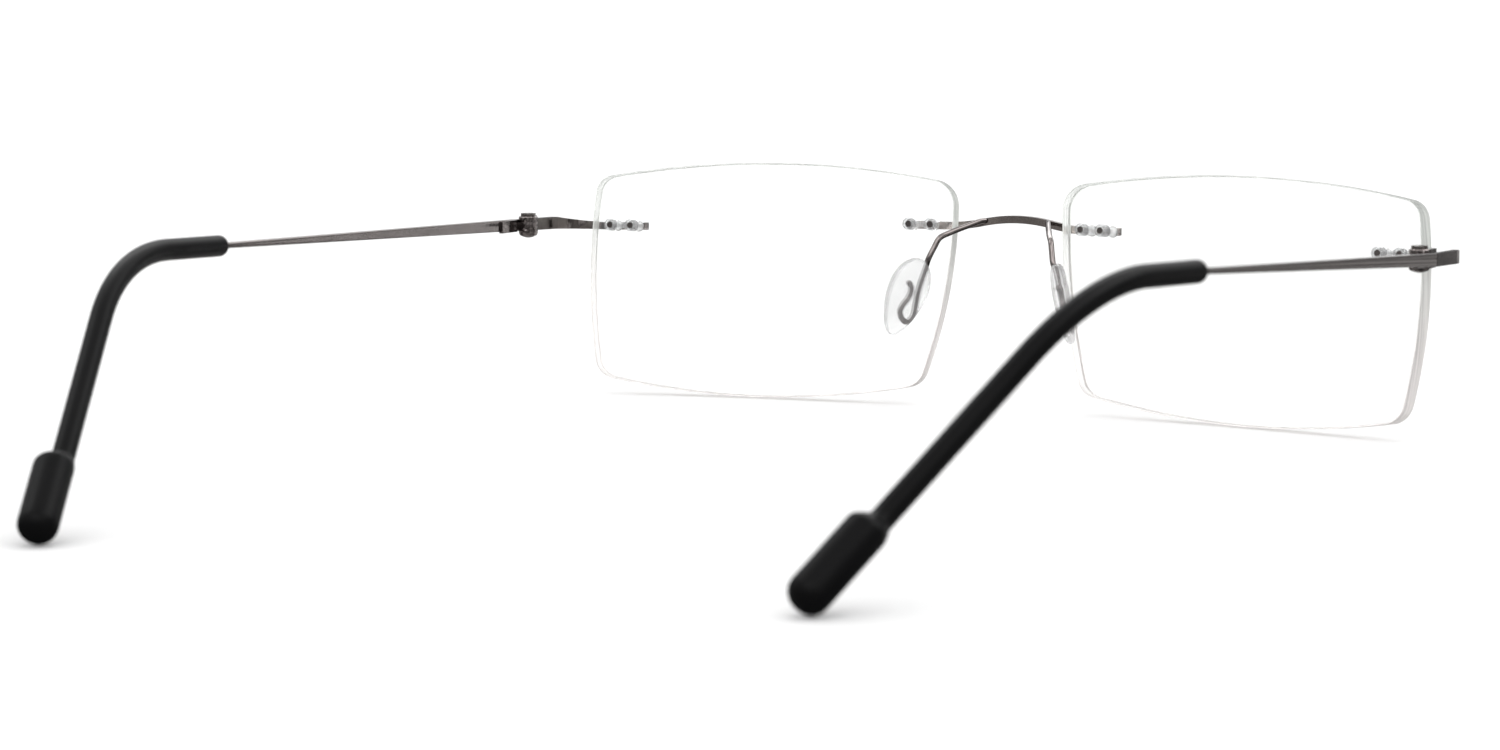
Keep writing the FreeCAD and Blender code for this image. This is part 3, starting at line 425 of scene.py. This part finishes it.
def lens_piece(side):
    sx = 1 if side == "left" else -1
    pts, nor = lens_outline()
    n = len(pts)
    yf = lambda x, z: R_FRONT - math.sqrt(R_FRONT ** 2 - x * x - z * z)
    yb = lambda x, z: R_FRONT - math.sqrt((R_FRONT - T_LENS) ** 2 - x * x - z * z)
    holes = [(cx + s * 1.55, cz) for cx, cz in ((-22.56, 8.42), (21.98, 7.30)) for s in (-1, 1)]
    b, hb, hr, nh = 0.13, 0.06, 0.75, 36
    verts, faces, fm = [], [], []

    def add(x, y, z):
        verts.append((x, y, z))
        return len(verts) - 1

    # flat pattern of one face
    flat = [tuple(p - q * b) for p, q in zip(pts, nor)]
    edges = [(i, (i + 1) % n) for i in range(n)]
    for cx, cz in holes:
        k0 = len(flat)
        for k in range(nh):
            a = 2 * math.pi * k / nh
            flat.append((cx + (hr + hb) * math.cos(a), cz + (hr + hb) * math.sin(a)))
        edges += [(k0 + k, k0 + (k + 1) % nh) for k in range(nh)]
    k_grid = len(flat)
    step = 1.3
    poly = [Vector(p) for p in flat[:n]]

    def inside(x, z, m):
        q = Vector((x, z))
        for i in range(0, n, 2):
            if (q - poly[i]).length < m:
                return False
        s = False
        j = n - 1
        for i in range(n):
            a, c = poly[i], poly[j]
            if (a.y > z) != (c.y > z) and x < (c.x - a.x) * (z - a.y) / (c.y - a.y) + a.x:
                s = not s
            j = i
        return s

    ix = int(30 / step)
    for i in range(-ix, ix + 1):
        for j in range(-16, 17):
            x = (i + 0.5 * (j % 2)) * step
            z = j * step * 0.87
            if abs(z) > 20:
                continue
            if inside(x, z, 0.75) and all(math.hypot(x - cx, z - cz) > hr + 0.55 for cx, cz in holes):
                flat.append((x, z))
    for cx, cz in holes:
        for k in range(18):
            a = 2 * math.pi * (k + 0.5) / 18
            x, z = cx + (hr + 0.32) * math.cos(a), cz + (hr + 0.32) * math.sin(a)
            if all(math.hypot(x - ox, z - oz) > hr + 0.2 for ox, oz in holes if (ox, oz) != (cx, cz)):
                flat.append((x, z))
    vco, _, fcs, ov, _, _ = delaunay_2d_cdt([Vector(p) for p in flat], edges, [], 0, 1e-6)
    where = {}
    for new, olds in enumerate(ov):
        for o in olds:
            where[o] = new
    tris = []
    for f in fcs:
        c = sum((vco[i] for i in f), Vector((0, 0))) / len(f)
        if any(math.hypot(c.x - cx, c.y - cz) < hr + hb - 0.02 for cx, cz in holes):
            continue
        tris.append(tuple(f))
    front = [add(p.x, yf(p.x, p.y), p.y) for p in vco]
    back = [add(p.x, yb(p.x, p.y), p.y) for p in vco]
    for f in tris:
        a, c, d = (vco[i] for i in f[:3])
        ccw = (c - a).cross(d - a) > 0
        g = f if ccw else tuple(reversed(f))
        # (x, z) anticlockwise seen from the front (-Y) faces the front
        faces.append(tuple(front[i] for i in g)); fm.append(0)
        faces.append(tuple(back[i] for i in reversed(g))); fm.append(0)
    # wall with rounded edges, both round the outline and down each hole
    def wall(loop, dirs, size, sgn, chamfer):
        """loop: points at full size; sgn +1 material inside the loop, -1 outside."""
        m = len(loop)
        rings = []
        c45 = 1 - math.cos(math.pi / 4)
        prof = [(chamfer * c45, chamfer * c45), (0.0, chamfer)]
        for inset, down in prof:
            rings.append([add(*(lambda p: (p.x, yf(p.x, p.y) + down, p.y))(q - dv * inset * sgn)) for q, dv in zip(loop, dirs)])
        for inset, down in reversed(prof):
            rings.append([add(*(lambda p: (p.x, yb(p.x, p.y) - down, p.y))(q - dv * inset * sgn)) for q, dv in zip(loop, dirs)])
        return rings

    full = [Vector(p) for p in pts]
    rings = wall(full, nor, None, 1, b)
    fr = [front[where[i]] for i in range(n)]
    bk = [back[where[i]] for i in range(n)]
    seq = [fr] + rings + [bk]
    # outline runs clockwise in (x, z)
    for k in range(len(seq) - 1):
        p, q = seq[k], seq[k + 1]
        for i in range(n):
            j = (i + 1) % n
            faces.append((p[i], p[j], q[j], q[i])); fm.append(1)
    base = n
    for cx, cz in holes:
        loop = [Vector((cx + hr * math.cos(2 * math.pi * k / nh), cz + hr * math.sin(2 * math.pi * k / nh))) for k in range(nh)]
        dirs = [Vector((math.cos(2 * math.pi * k / nh), math.sin(2 * math.pi * k / nh))) for k in range(nh)]
        rings = wall(loop, dirs, None, -1, hb)
        fr = [front[where[base + i]] for i in range(nh)]
        bk = [back[where[base + i]] for i in range(nh)]
        seq = [fr] + rings + [bk]
        for k in range(len(seq) - 1):
            p, q = seq[k], seq[k + 1]
            for i in range(nh):
                j = (i + 1) % nh
                faces.append((p[i], p[j], q[j], q[i])); fm.append(2)
        base += nh
    out = []
    for v in verts:
        w = LENS_R @ Vector(v) + LENS_C
        out.append((sx * w.x, w.y, w.z))
    if sx < 0:
        faces = [tuple(reversed(f)) for f in faces]
    ob = make("lens_glass_" + side, out, faces, [LENS, LENS_WALL, LENS_HOLE], "front",
              ["lens_" + side], face_mat=fm)
    me = ob.data
    bm = bmesh.new()
    bm.from_mesh(me)
    bmesh.ops.recalc_face_normals(bm, faces=bm.faces[:])
    for e in bm.edges:
        if len(e.link_faces) == 2 and e.link_faces[0].material_index != e.link_faces[1].material_index:
            e.smooth = False
    bad = [e for e in bm.edges if len(e.link_faces) != 2]
    print("lens", side, "open edges", len(bad), "volume", bm.calc_volume() * 1e9)
    bm.to_mesh(me)
    bm.free()
    return ob


# ------------------------------------------------------------------ nose pads
PAD_C = Vector((11.6, -68.445, 15.82))
PAD_UP = Vector((-0.30, -0.235, 0.924)).normalized()
PAD_W = Vector((0.373, 0.864, 0.340))
PAD_W = (PAD_W - PAD_UP * PAD_W.dot(PAD_UP)).normalized()
PAD_N = PAD_UP.cross(PAD_W)


def pad_piece(side):
    sx = 1 if side == "left" else -1
    n = 56
    # (share of the outline, height across the thickness)
    prof = [(0.16, 1.14), (0.36, 1.12), (0.56, 1.05), (0.74, 0.93), (0.87, 0.76), (0.95, 0.56),
            (0.99, 0.30), (1.0, -0.05), (0.985, -0.45), (0.95, -0.74), (0.88, -0.93),
            (0.76, -1.03), (0.58, -1.07), (0.38, -1.09), (0.16, -1.10)]
    verts = []
    for rho, d in prof:
        for k in range(n):
            t = 2 * math.pi * k / n
            c, s = math.cos(t), math.sin(t)
            if s >= 0:
                e, bb = 1.95, 4.5
            else:
                e, bb = 1.68, 6.95
            # superellipse radius in direction t
            aa = 3.42
            q = (abs(c) ** e + abs(s) ** e) ** (-1 / e)
            w = aa * q * c
            h = bb * q * s
            lean = 0.06 * h
            ww = (w + lean * 0.0) * rho + 0.22
            hh = h * rho + 1.2
            thin = 1.0 - 0.16 * max(0.0, -(hh) / 5.8)
            crown = 0.0
            p = PAD_C + PAD_W * ww + PAD_UP * hh + PAD_N * (d * thin + crown)
            verts.append((sx * p.x, p.y, p.z))
    faces = rings_to_faces(len(prof), n, flip=(sx > 0))
    ob = make("nose_pad_soft_" + side, verts, faces, [PAD], "front", ["nose_pad_" + side])
    me = ob.data
    bm = bmesh.new()
    bm.from_mesh(me)
    # pole fans instead of large end faces
    for f in [f for f in bm.faces if len(f.verts) > 4]:
        bmesh.ops.poke(bm, faces=[f])
    bmesh.ops.recalc_face_normals(bm, faces=bm.faces[:])
    for f in bm.faces:
        f.smooth = True
    bm.to_mesh(me)
    bm.free()
    ss = ob.modifiers.new("soft", "SUBSURF")
    ss.levels = 1
    ss.render_levels = 1
    return ob


def tube(points, radius, n=18, per=6):
    """Round wire through the points with a domed far end: its rings of points."""
    P = [points[0] * 2 - points[1]] + points + [points[-1] * 2 - points[-2]]
    path = []
    for i in range(1, len(P) - 2):
        p0, p1, p2, p3 = P[i - 1], P[i], P[i + 1], P[i + 2]
        t0 = 0.0
        t1 = t0 + math.sqrt((p1 - p0).length)
        t2 = t1 + math.sqrt((p2 - p1).length)
        t3 = t2 + math.sqrt((p3 - p2).length)
        for k in range(per):
            t = t1 + (t2 - t1) * k / per
            a1 = p0 * ((t1 - t) / (t1 - t0)) + p1 * ((t - t0) / (t1 - t0))
            a2 = p1 * ((t2 - t) / (t2 - t1)) + p2 * ((t - t1) / (t2 - t1))
            a3 = p2 * ((t3 - t) / (t3 - t2)) + p3 * ((t - t2) / (t3 - t2))
            b1 = a1 * ((t2 - t) / (t2 - t0)) + a2 * ((t - t0) / (t2 - t0))
            b2 = a2 * ((t3 - t) / (t3 - t1)) + a3 * ((t - t1) / (t3 - t1))
            path.append(b1 * ((t2 - t) / (t2 - t1)) + b2 * ((t - t1) / (t2 - t1)))
    path.append(points[-1])
    rings = []
    up = None
    m = len(path)
    for i, q in enumerate(path):
        d = (path[min(i + 1, m - 1)] - path[max(i - 1, 0)]).normalized()
        if up is None:
            up = d.orthogonal().normalized()
        up = (up - d * up.dot(d)).normalized()
        lat = d.cross(up)
        rings.append([q + (up * math.cos(2 * math.pi * k / n) + lat * math.sin(2 * math.pi * k / n)) * radius for k in range(n)])
    for a in (25, 50, 70, 84):
        c, sn = math.cos(math.radians(a)), math.sin(math.radians(a))
        q = path[-1] + d * radius * sn
        rings.append([q + (up * math.cos(2 * math.pi * k / n) + lat * math.sin(2 * math.pi * k / n)) * radius * c for k in range(n)])
    return rings


def pad_arm_piece(side):
    sx = 1 if side == "left" else -1
    on = lambda w, h: PAD_C + PAD_W * w + PAD_UP * h
    pts = [Vector((4.75, -79.72, 25.95)), Vector((5.1, -78.85, 25.9)), Vector((6.1, -76.55, 25.35)),
           Vector((7.45, -73.6, 24.55)), Vector((8.3, -72.05, 23.9)), Vector((8.75, -71.3, 22.7)),
           Vector((9.3, -70.5, 21.06)), on(-1.1, 5.3), on(-1.17, 3.8), on(-1.35, 1.6), on(-1.85, -0.4),
           on(-2.2, -1.8), on(-2.0, -2.75), on(-1.35, -3.2), on(-0.35, -2.9), on(0.3, -2.15),
           on(0.25, -1.1), on(-0.15, 0.0), on(-0.15, 1.0), on(0.25, 1.65), on(0.75, 1.95)]
    rings = tube(pts, 0.4)
    n = len(rings[0])
    verts = [(sx * q.x, q.y, q.z) for ring in rings for q in ring]
    faces = rings_to_faces(len(rings), n)
    ob = make("pad_arm_wire_" + side, verts, faces, [METAL], "front", ["pad_arm_" + side])
    tidy(ob, 50)
    return ob


# ------------------------------------------------------------------ temples
def temple_points(side):
    zz = {"left": (27.4, 28.25, 45.25), "right": (29.14, 29.9, 44.3)}[side]
    A = Vector((66.45, -55.375, 24.9))
    S = Vector((62.876, 21.1, zz[0]))
    B = Vector((60.4, 44.805, zz[1]))
    T = Vector((zz[2], 79.408, 0.47))
    return A, S, B, T


def bar_piece(side):
    """Flat bar that narrows to a round wire inside the sleeve's mouth."""
    sx = 1 if side == "left" else -1
    A, S, B, T = temple_points(side)
    d = (S - A).normalized()
    up = (Vector((0, 0, 1)) - d * d.z).normalized()
    lat = up.cross(d)
    L = (S - A).length
    n_c = 6
    stations = [0.0, 0.03, 0.10, 0.3] + [L * k / 40 for k in range(1, 40)] + [L - 0.15]
    rings = []
    for s in stations:
        t = min(1.0, s / L)
        hh = 0.83 + (0.375 - 0.83) * t
        ht = 0.45 + (0.375 - 0.45) * t
        r = 0.15 + (0.37 - 0.15) * t ** 1.4
        inset = 0.10 * (1 - min(1.0, s / 0.10)) ** 2
        hh -= inset
        ht -= inset
        r = min(r, ht - 0.004)
        ring = []
        for cx, cz, a0 in ((1, 1, 0), (-1, 1, 90), (-1, -1, 180), (1, -1, 270)):
            for k in range(n_c + 1):
                a = math.radians(a0 + 90 * k / n_c)
                x = cx * (ht - r) + r * math.cos(a)
                z = cz * (hh - r) + r * math.sin(a)
                ring.append((x, z))
        rings.append([A + d * s + lat * x + up * z for x, z in ring])
    # wire core into the sleeve, a little way
    d1 = (B - S).normalized()
    n = len(rings[0])
    for s in (0.5, 1.6, 3.0):
        up1 = (Vector((0, 0, 1)) - d1 * d1.z).normalized()
        lat1 = up1.cross(d1)
        ring = []
        for cx, cz, a0 in ((1, 1, 0), (-1, 1, 90), (-1, -1, 180), (1, -1, 270)):
            for k in range(n_c + 1):
                a = math.radians(a0 + 90 * k / n_c)
                ring.append(S + d1 * s + lat1 * 0.375 * math.cos(a) + up1 * 0.375 * math.sin(a))
        rings.append(ring)
    verts = [(sx * p.x, p.y, p.z) for ring in rings for p in ring]
    faces = rings_to_faces(len(rings), n, flip=(sx < 0))
    ob = make("temple_flat_bar_" + side, verts, faces, [METAL], "temple_" + side,
              ["temple_bar_" + side])
    tidy(ob, 34)
    return ob


def tidy(ob, degrees):
    me = ob.data
    bm = bmesh.new()
    bm.from_mesh(me)
    bmesh.ops.remove_doubles(bm, verts=bm.verts[:], dist=1e-7)
    bmesh.ops.recalc_face_normals(bm, faces=bm.faces[:])
    for f in bm.faces:
        f.smooth = True
    for e in bm.edges:
        e.smooth = not (len(e.link_faces) != 2 or e.calc_face_angle(0.0) > math.radians(degrees))
    bm.to_mesh(me)
    bm.free()


def cover_piece(side):
    """Soft sleeve from its rounded mouth, round the ear bend, to the bulb at the tip."""
    sx = 1 if side == "left" else -1
    A, S, B, T = temple_points(side)
    d1 = (B - S).normalized()
    d2 = (T - B).normalized()
    nrm = d1.cross(d2).normalized()
    turn = math.acos(d1.dot(d2))
    R = 29.0
    tan = R * math.tan(turn / 2)
    run, drop = (B - S).length, (T - B).length
    L1, L2, L3 = run - tan, R * turn, drop - tan
    total = L1 + L2 + L3
    down = nrm.cross(d1) * 1.0
    if down.dot(d2) < 0:
        down = -down

    def at(s):
        """Point, direction and the outward side of the bend at arc length s."""
        if s <= L1:
            return S + d1 * s, d1, -down
        if s <= L1 + L2:
            a = (s - L1) / R
            c = S + d1 * L1 + down * R
            o = (-down) * math.cos(a) + d1 * math.sin(a)
            return c + o * R, d1 * math.cos(a) + down * math.sin(a), o
        o = (-down) * math.cos(turn) + d1 * math.sin(turn)
        return B + d2 * (s - L1 - L2 + tan), d2, o

    RS, RB = 1.3, 2.25
    lip = [(0.0, 0.44), (0.0, 0.80), (0.03, 0.95), (0.10, 1.07), (0.21, 1.17), (0.37, 1.25), (0.60, RS)]
    st = [(s, r, 0.0) for s, r in lip]
    s = 1.2
    while s < L1:
        st.append((s, RS, 0.0)); s += 1.2
    k_arc = 26
    for k in range(k_arc + 1):
        st.append((L1 + L2 * k / k_arc, RS, 0.0))
    u_top = 12.75                      # shoulder starts this far from the tip's end
    s = L1 + L2 + 1.2
    while total - s > u_top + 0.25:
        st.append((s, RS, 0.0)); s += 1.2
    # shoulder: slants on the outer side, flush on the inner side
    for k in range(0, 15):
        f = k / 14.0
        u = u_top - 2.25 * f
        g = f * f * (3 - 2 * f)
        g = 0.35 * g + 0.65 * math.sin(f * math.pi / 2) ** 1.15
        r = RS + (RB - RS) * g
        st.append((total - u, r, r - RS))
    u = u_top - 2.25 - 0.9
    while u > 2.15:
        st.append((total - u, RB, RB - RS)); u -= 0.95
    for k in range(0, 11):
        a = math.pi / 2 * k / 10
        uu = 2.0 * (1 - math.sin(a))
        r = 0.2 + (RB - 0.2) * math.cos(a)
        st.append((total - uu, r, RB - RS))
    n = 44
    rings = []
    for s, r, off in st:
        p, d, o = at(min(s, total))
        c = p + o * off
        rings.append([c + o * r * math.cos(2 * math.pi * k / n) + nrm * r * math.sin(2 * math.pi * k / n) for k in range(n)])
    verts = [(sx * p.x, p.y, p.z) for ring in rings for p in ring]
    faces = rings_to_faces(len(rings), n)
    ob = make("temple_cover_" + side, verts, faces, [BLACK], "temple_" + side,
              ["temple_sleeve_" + side, "temple_tip_" + side])
    tidy(ob, 50)
    return ob


for side in ("left", "right"):
    lens_piece(side)
    pad_piece(side)
    pad_arm_piece(side)
    bar_piece(side)
    cover_piece(side)
    refined("end_piece_" + side, "end_piece_soft_" + side, METAL, "front", 0.10)
    refined("hinge_front_" + side, "hinge_barrel_" + side, METAL, "front", 0.07)
    refined("hinge_rear_" + side, "hinge_leaf_" + side, METAL, "temple_" + side, 0.07)
    refined("hinge_screw_" + side, "hinge_screw_slotted_" + side, FASTENER, "front", 0.05)
# the bridge wears the lighter gunmetal copy, with its painted light
refined("bridge_bar", "bridge_soft", BRIDGE_PAINTED_LIGHTER, "front", 0.13)

# ------------------------------------------------------------------ stage
me = bpy.data.meshes.new("floor")
s = 6.0
me.from_pydata([(-s, -s, 0), (s, -s, 0), (s, s, 0), (-s, s, 0)], [], [(0, 1, 2, 3)])
floor = bpy.data.objects.new("floor", me)
scene.collection.objects.link(floor)
fm, nt, out = new_mat("floor_white")
d = node(nt, "ShaderNodeBsdfDiffuse")
d.inputs["Color"].default_value = (0.86, 0.86, 0.86, 1)
d2 = node(nt, "ShaderNodeBsdfDiffuse")
d2.inputs["Color"].default_value = (0.30, 0.30, 0.30, 1)
# what polished metal sees of the table: soft lighter and darker patches of the studio
ftc = nt.nodes.new("ShaderNodeTexCoord")
fno = node(nt, "ShaderNodeTexNoise", Scale=17.0, Detail=1.0)
nt.links.new(ftc.outputs["Object"], fno.inputs["Vector"])
frp = nt.nodes.new("ShaderNodeValToRGB")
frp.color_ramp.elements[0].position = 0.38
frp.color_ramp.elements[1].position = 0.64
frp.color_ramp.elements[0].color = (0.05, 0.05, 0.05, 1)
frp.color_ramp.elements[1].color = (0.55, 0.54, 0.53, 1)
nt.links.new(fno.outputs["Fac"], frp.inputs["Fac"])
nt.links.new(frp.outputs["Color"], d2.inputs["Color"])
lpf = nt.nodes.new("ShaderNodeLightPath")
subf = nt.nodes.new("ShaderNodeMath"); subf.operation = "SUBTRACT"; subf.use_clamp = True
nt.links.new(lpf.outputs["Is Glossy Ray"], subf.inputs[0])
nt.links.new(lpf.outputs["Is Transmission Ray"], subf.inputs[1])
mxf = nt.nodes.new("ShaderNodeMixShader")
nt.links.new(subf.outputs[0], mxf.inputs["Fac"])
nt.links.new(d.outputs["BSDF"], mxf.inputs[1])
nt.links.new(d2.outputs["BSDF"], mxf.inputs[2])
nt.links.new(mxf.outputs["Shader"], out.inputs["Surface"])
me.materials.append(fm)

w = bpy.data.worlds.new("studio")
scene.world = w
w.use_nodes = True
nt = w.node_tree
nt.nodes.clear()
out = nt.nodes.new("ShaderNodeOutputWorld")
L = nt.links.new
bg_cam = nt.nodes.new("ShaderNodeBackground")
bg_cam.inputs["Color"].default_value = (1, 1, 1, 1)
bg_cam.inputs["Strength"].default_value = 1.34
bg_gl = nt.nodes.new("ShaderNodeBackground")
tc = nt.nodes.new("ShaderNodeTexCoord")
sep = nt.nodes.new("ShaderNodeSeparateXYZ")
L(tc.outputs["Generated"], sep.inputs[0])
ramp = nt.nodes.new("ShaderNodeValToRGB")
cr = ramp.color_ramp
cr.elements[0].position = 0.0; cr.elements[0].color = (0.8, 0.8, 0.8, 1)
cr.elements[1].position = 1.0; cr.elements[1].color = (1.5, 1.5, 1.5, 1)
for pos, v in ((0.48, 0.28), (0.53, 0.45), (0.66, 0.75), (0.78, 3.2), (0.90, 3.2)):
    e = cr.elements.new(pos); e.color = (v, v, v, 1)
mr = nt.nodes.new("ShaderNodeMapRange")
mr.inputs["From Min"].default_value = -1
mr.inputs["From Max"].default_value = 1
L(sep.outputs["Z"], mr.inputs["Value"])
L(mr.outputs["Result"], ramp.inputs["Fac"])
sky = node(nt, "ShaderNodeTexNoise", Scale=3.2, Detail=1.0)
L(tc.outputs["Generated"], sky.inputs["Vector"])
skr = nt.nodes.new("ShaderNodeMapRange")
skr.inputs["From Min"].default_value = 0.38
skr.inputs["From Max"].default_value = 0.62
skr.inputs["To Min"].default_value = 0.30
skr.inputs["To Max"].default_value = 1.55
L(sky.outputs["Fac"], skr.inputs["Value"])
L(ramp.outputs["Color"], bg_gl.inputs["Color"])
L(skr.outputs["Result"], bg_gl.inputs["Strength"])
lp = nt.nodes.new("ShaderNodeLightPath")
mix = nt.nodes.new("ShaderNodeMixShader")
# metal seen directly, or through a lens (two or more faces crossed before it),
# reflects the shaded studio; everything else sees the plain backdrop
g1 = nt.nodes.new("ShaderNodeMath"); g1.operation = "GREATER_THAN"; g1.inputs[1].default_value = 0.5
L(lp.outputs["Glossy Depth"], g1.inputs[0])
t3 = nt.nodes.new("ShaderNodeMath"); t3.operation = "GREATER_THAN"; t3.inputs[1].default_value = 2.5
L(lp.outputs["Transmission Depth"], t3.inputs[0])
sub = nt.nodes.new("ShaderNodeMath"); sub.operation = "SUBTRACT"; sub.use_clamp = True
L(lp.outputs["Is Glossy Ray"], sub.inputs[0])
L(lp.outputs["Is Transmission Ray"], sub.inputs[1])
either = nt.nodes.new("ShaderNodeMath"); either.operation = "MAXIMUM"
L(sub.outputs[0], either.inputs[0])
L(t3.outputs[0], either.inputs[1])
both = nt.nodes.new("ShaderNodeMath"); both.operation = "MULTIPLY"
L(either.outputs[0], both.inputs[0])
L(g1.outputs[0], both.inputs[1])
L(both.outputs[0], mix.inputs["Fac"])
L(bg_cam.outputs[0], mix.inputs[1])
L(bg_gl.outputs[0], mix.inputs[2])
L(mix.outputs[0], out.inputs["Surface"])

scene.view_settings.view_transform = "Standard"

# ------------------------------------------------------------------ camera
cam = bpy.data.cameras.new("camera")
co = bpy.data.objects.new("camera", cam)
scene.collection.objects.link(co)
scene.camera = co
cam.dof.use_dof = True
aim = bpy.data.objects.new("focus_point", None)
aim.location = (0.0, -0.0764, 0.017)
scene.collection.objects.link(aim)
cam.dof.focus_object = aim
cam.dof.aperture_fstop = 38.0
az, el = math.radians(206.97), math.radians(6.58)
back = Vector((math.sin(az) * math.cos(el), -math.cos(az) * math.cos(el), math.sin(el)))
target = Vector((0.02502, 0.030 - 0.076415, 0.00655))
co.rotation_mode = "QUATERNION"
co.location = target + back * 0.47359
co.rotation_quaternion = (-back).to_track_quat("-Z", "Y")
cam.sensor_width = 36.0
cam.lens = 84.24
cam.shift_x = 1.7 / 1500
cam.clip_start = 0.01
cam.clip_end = 50
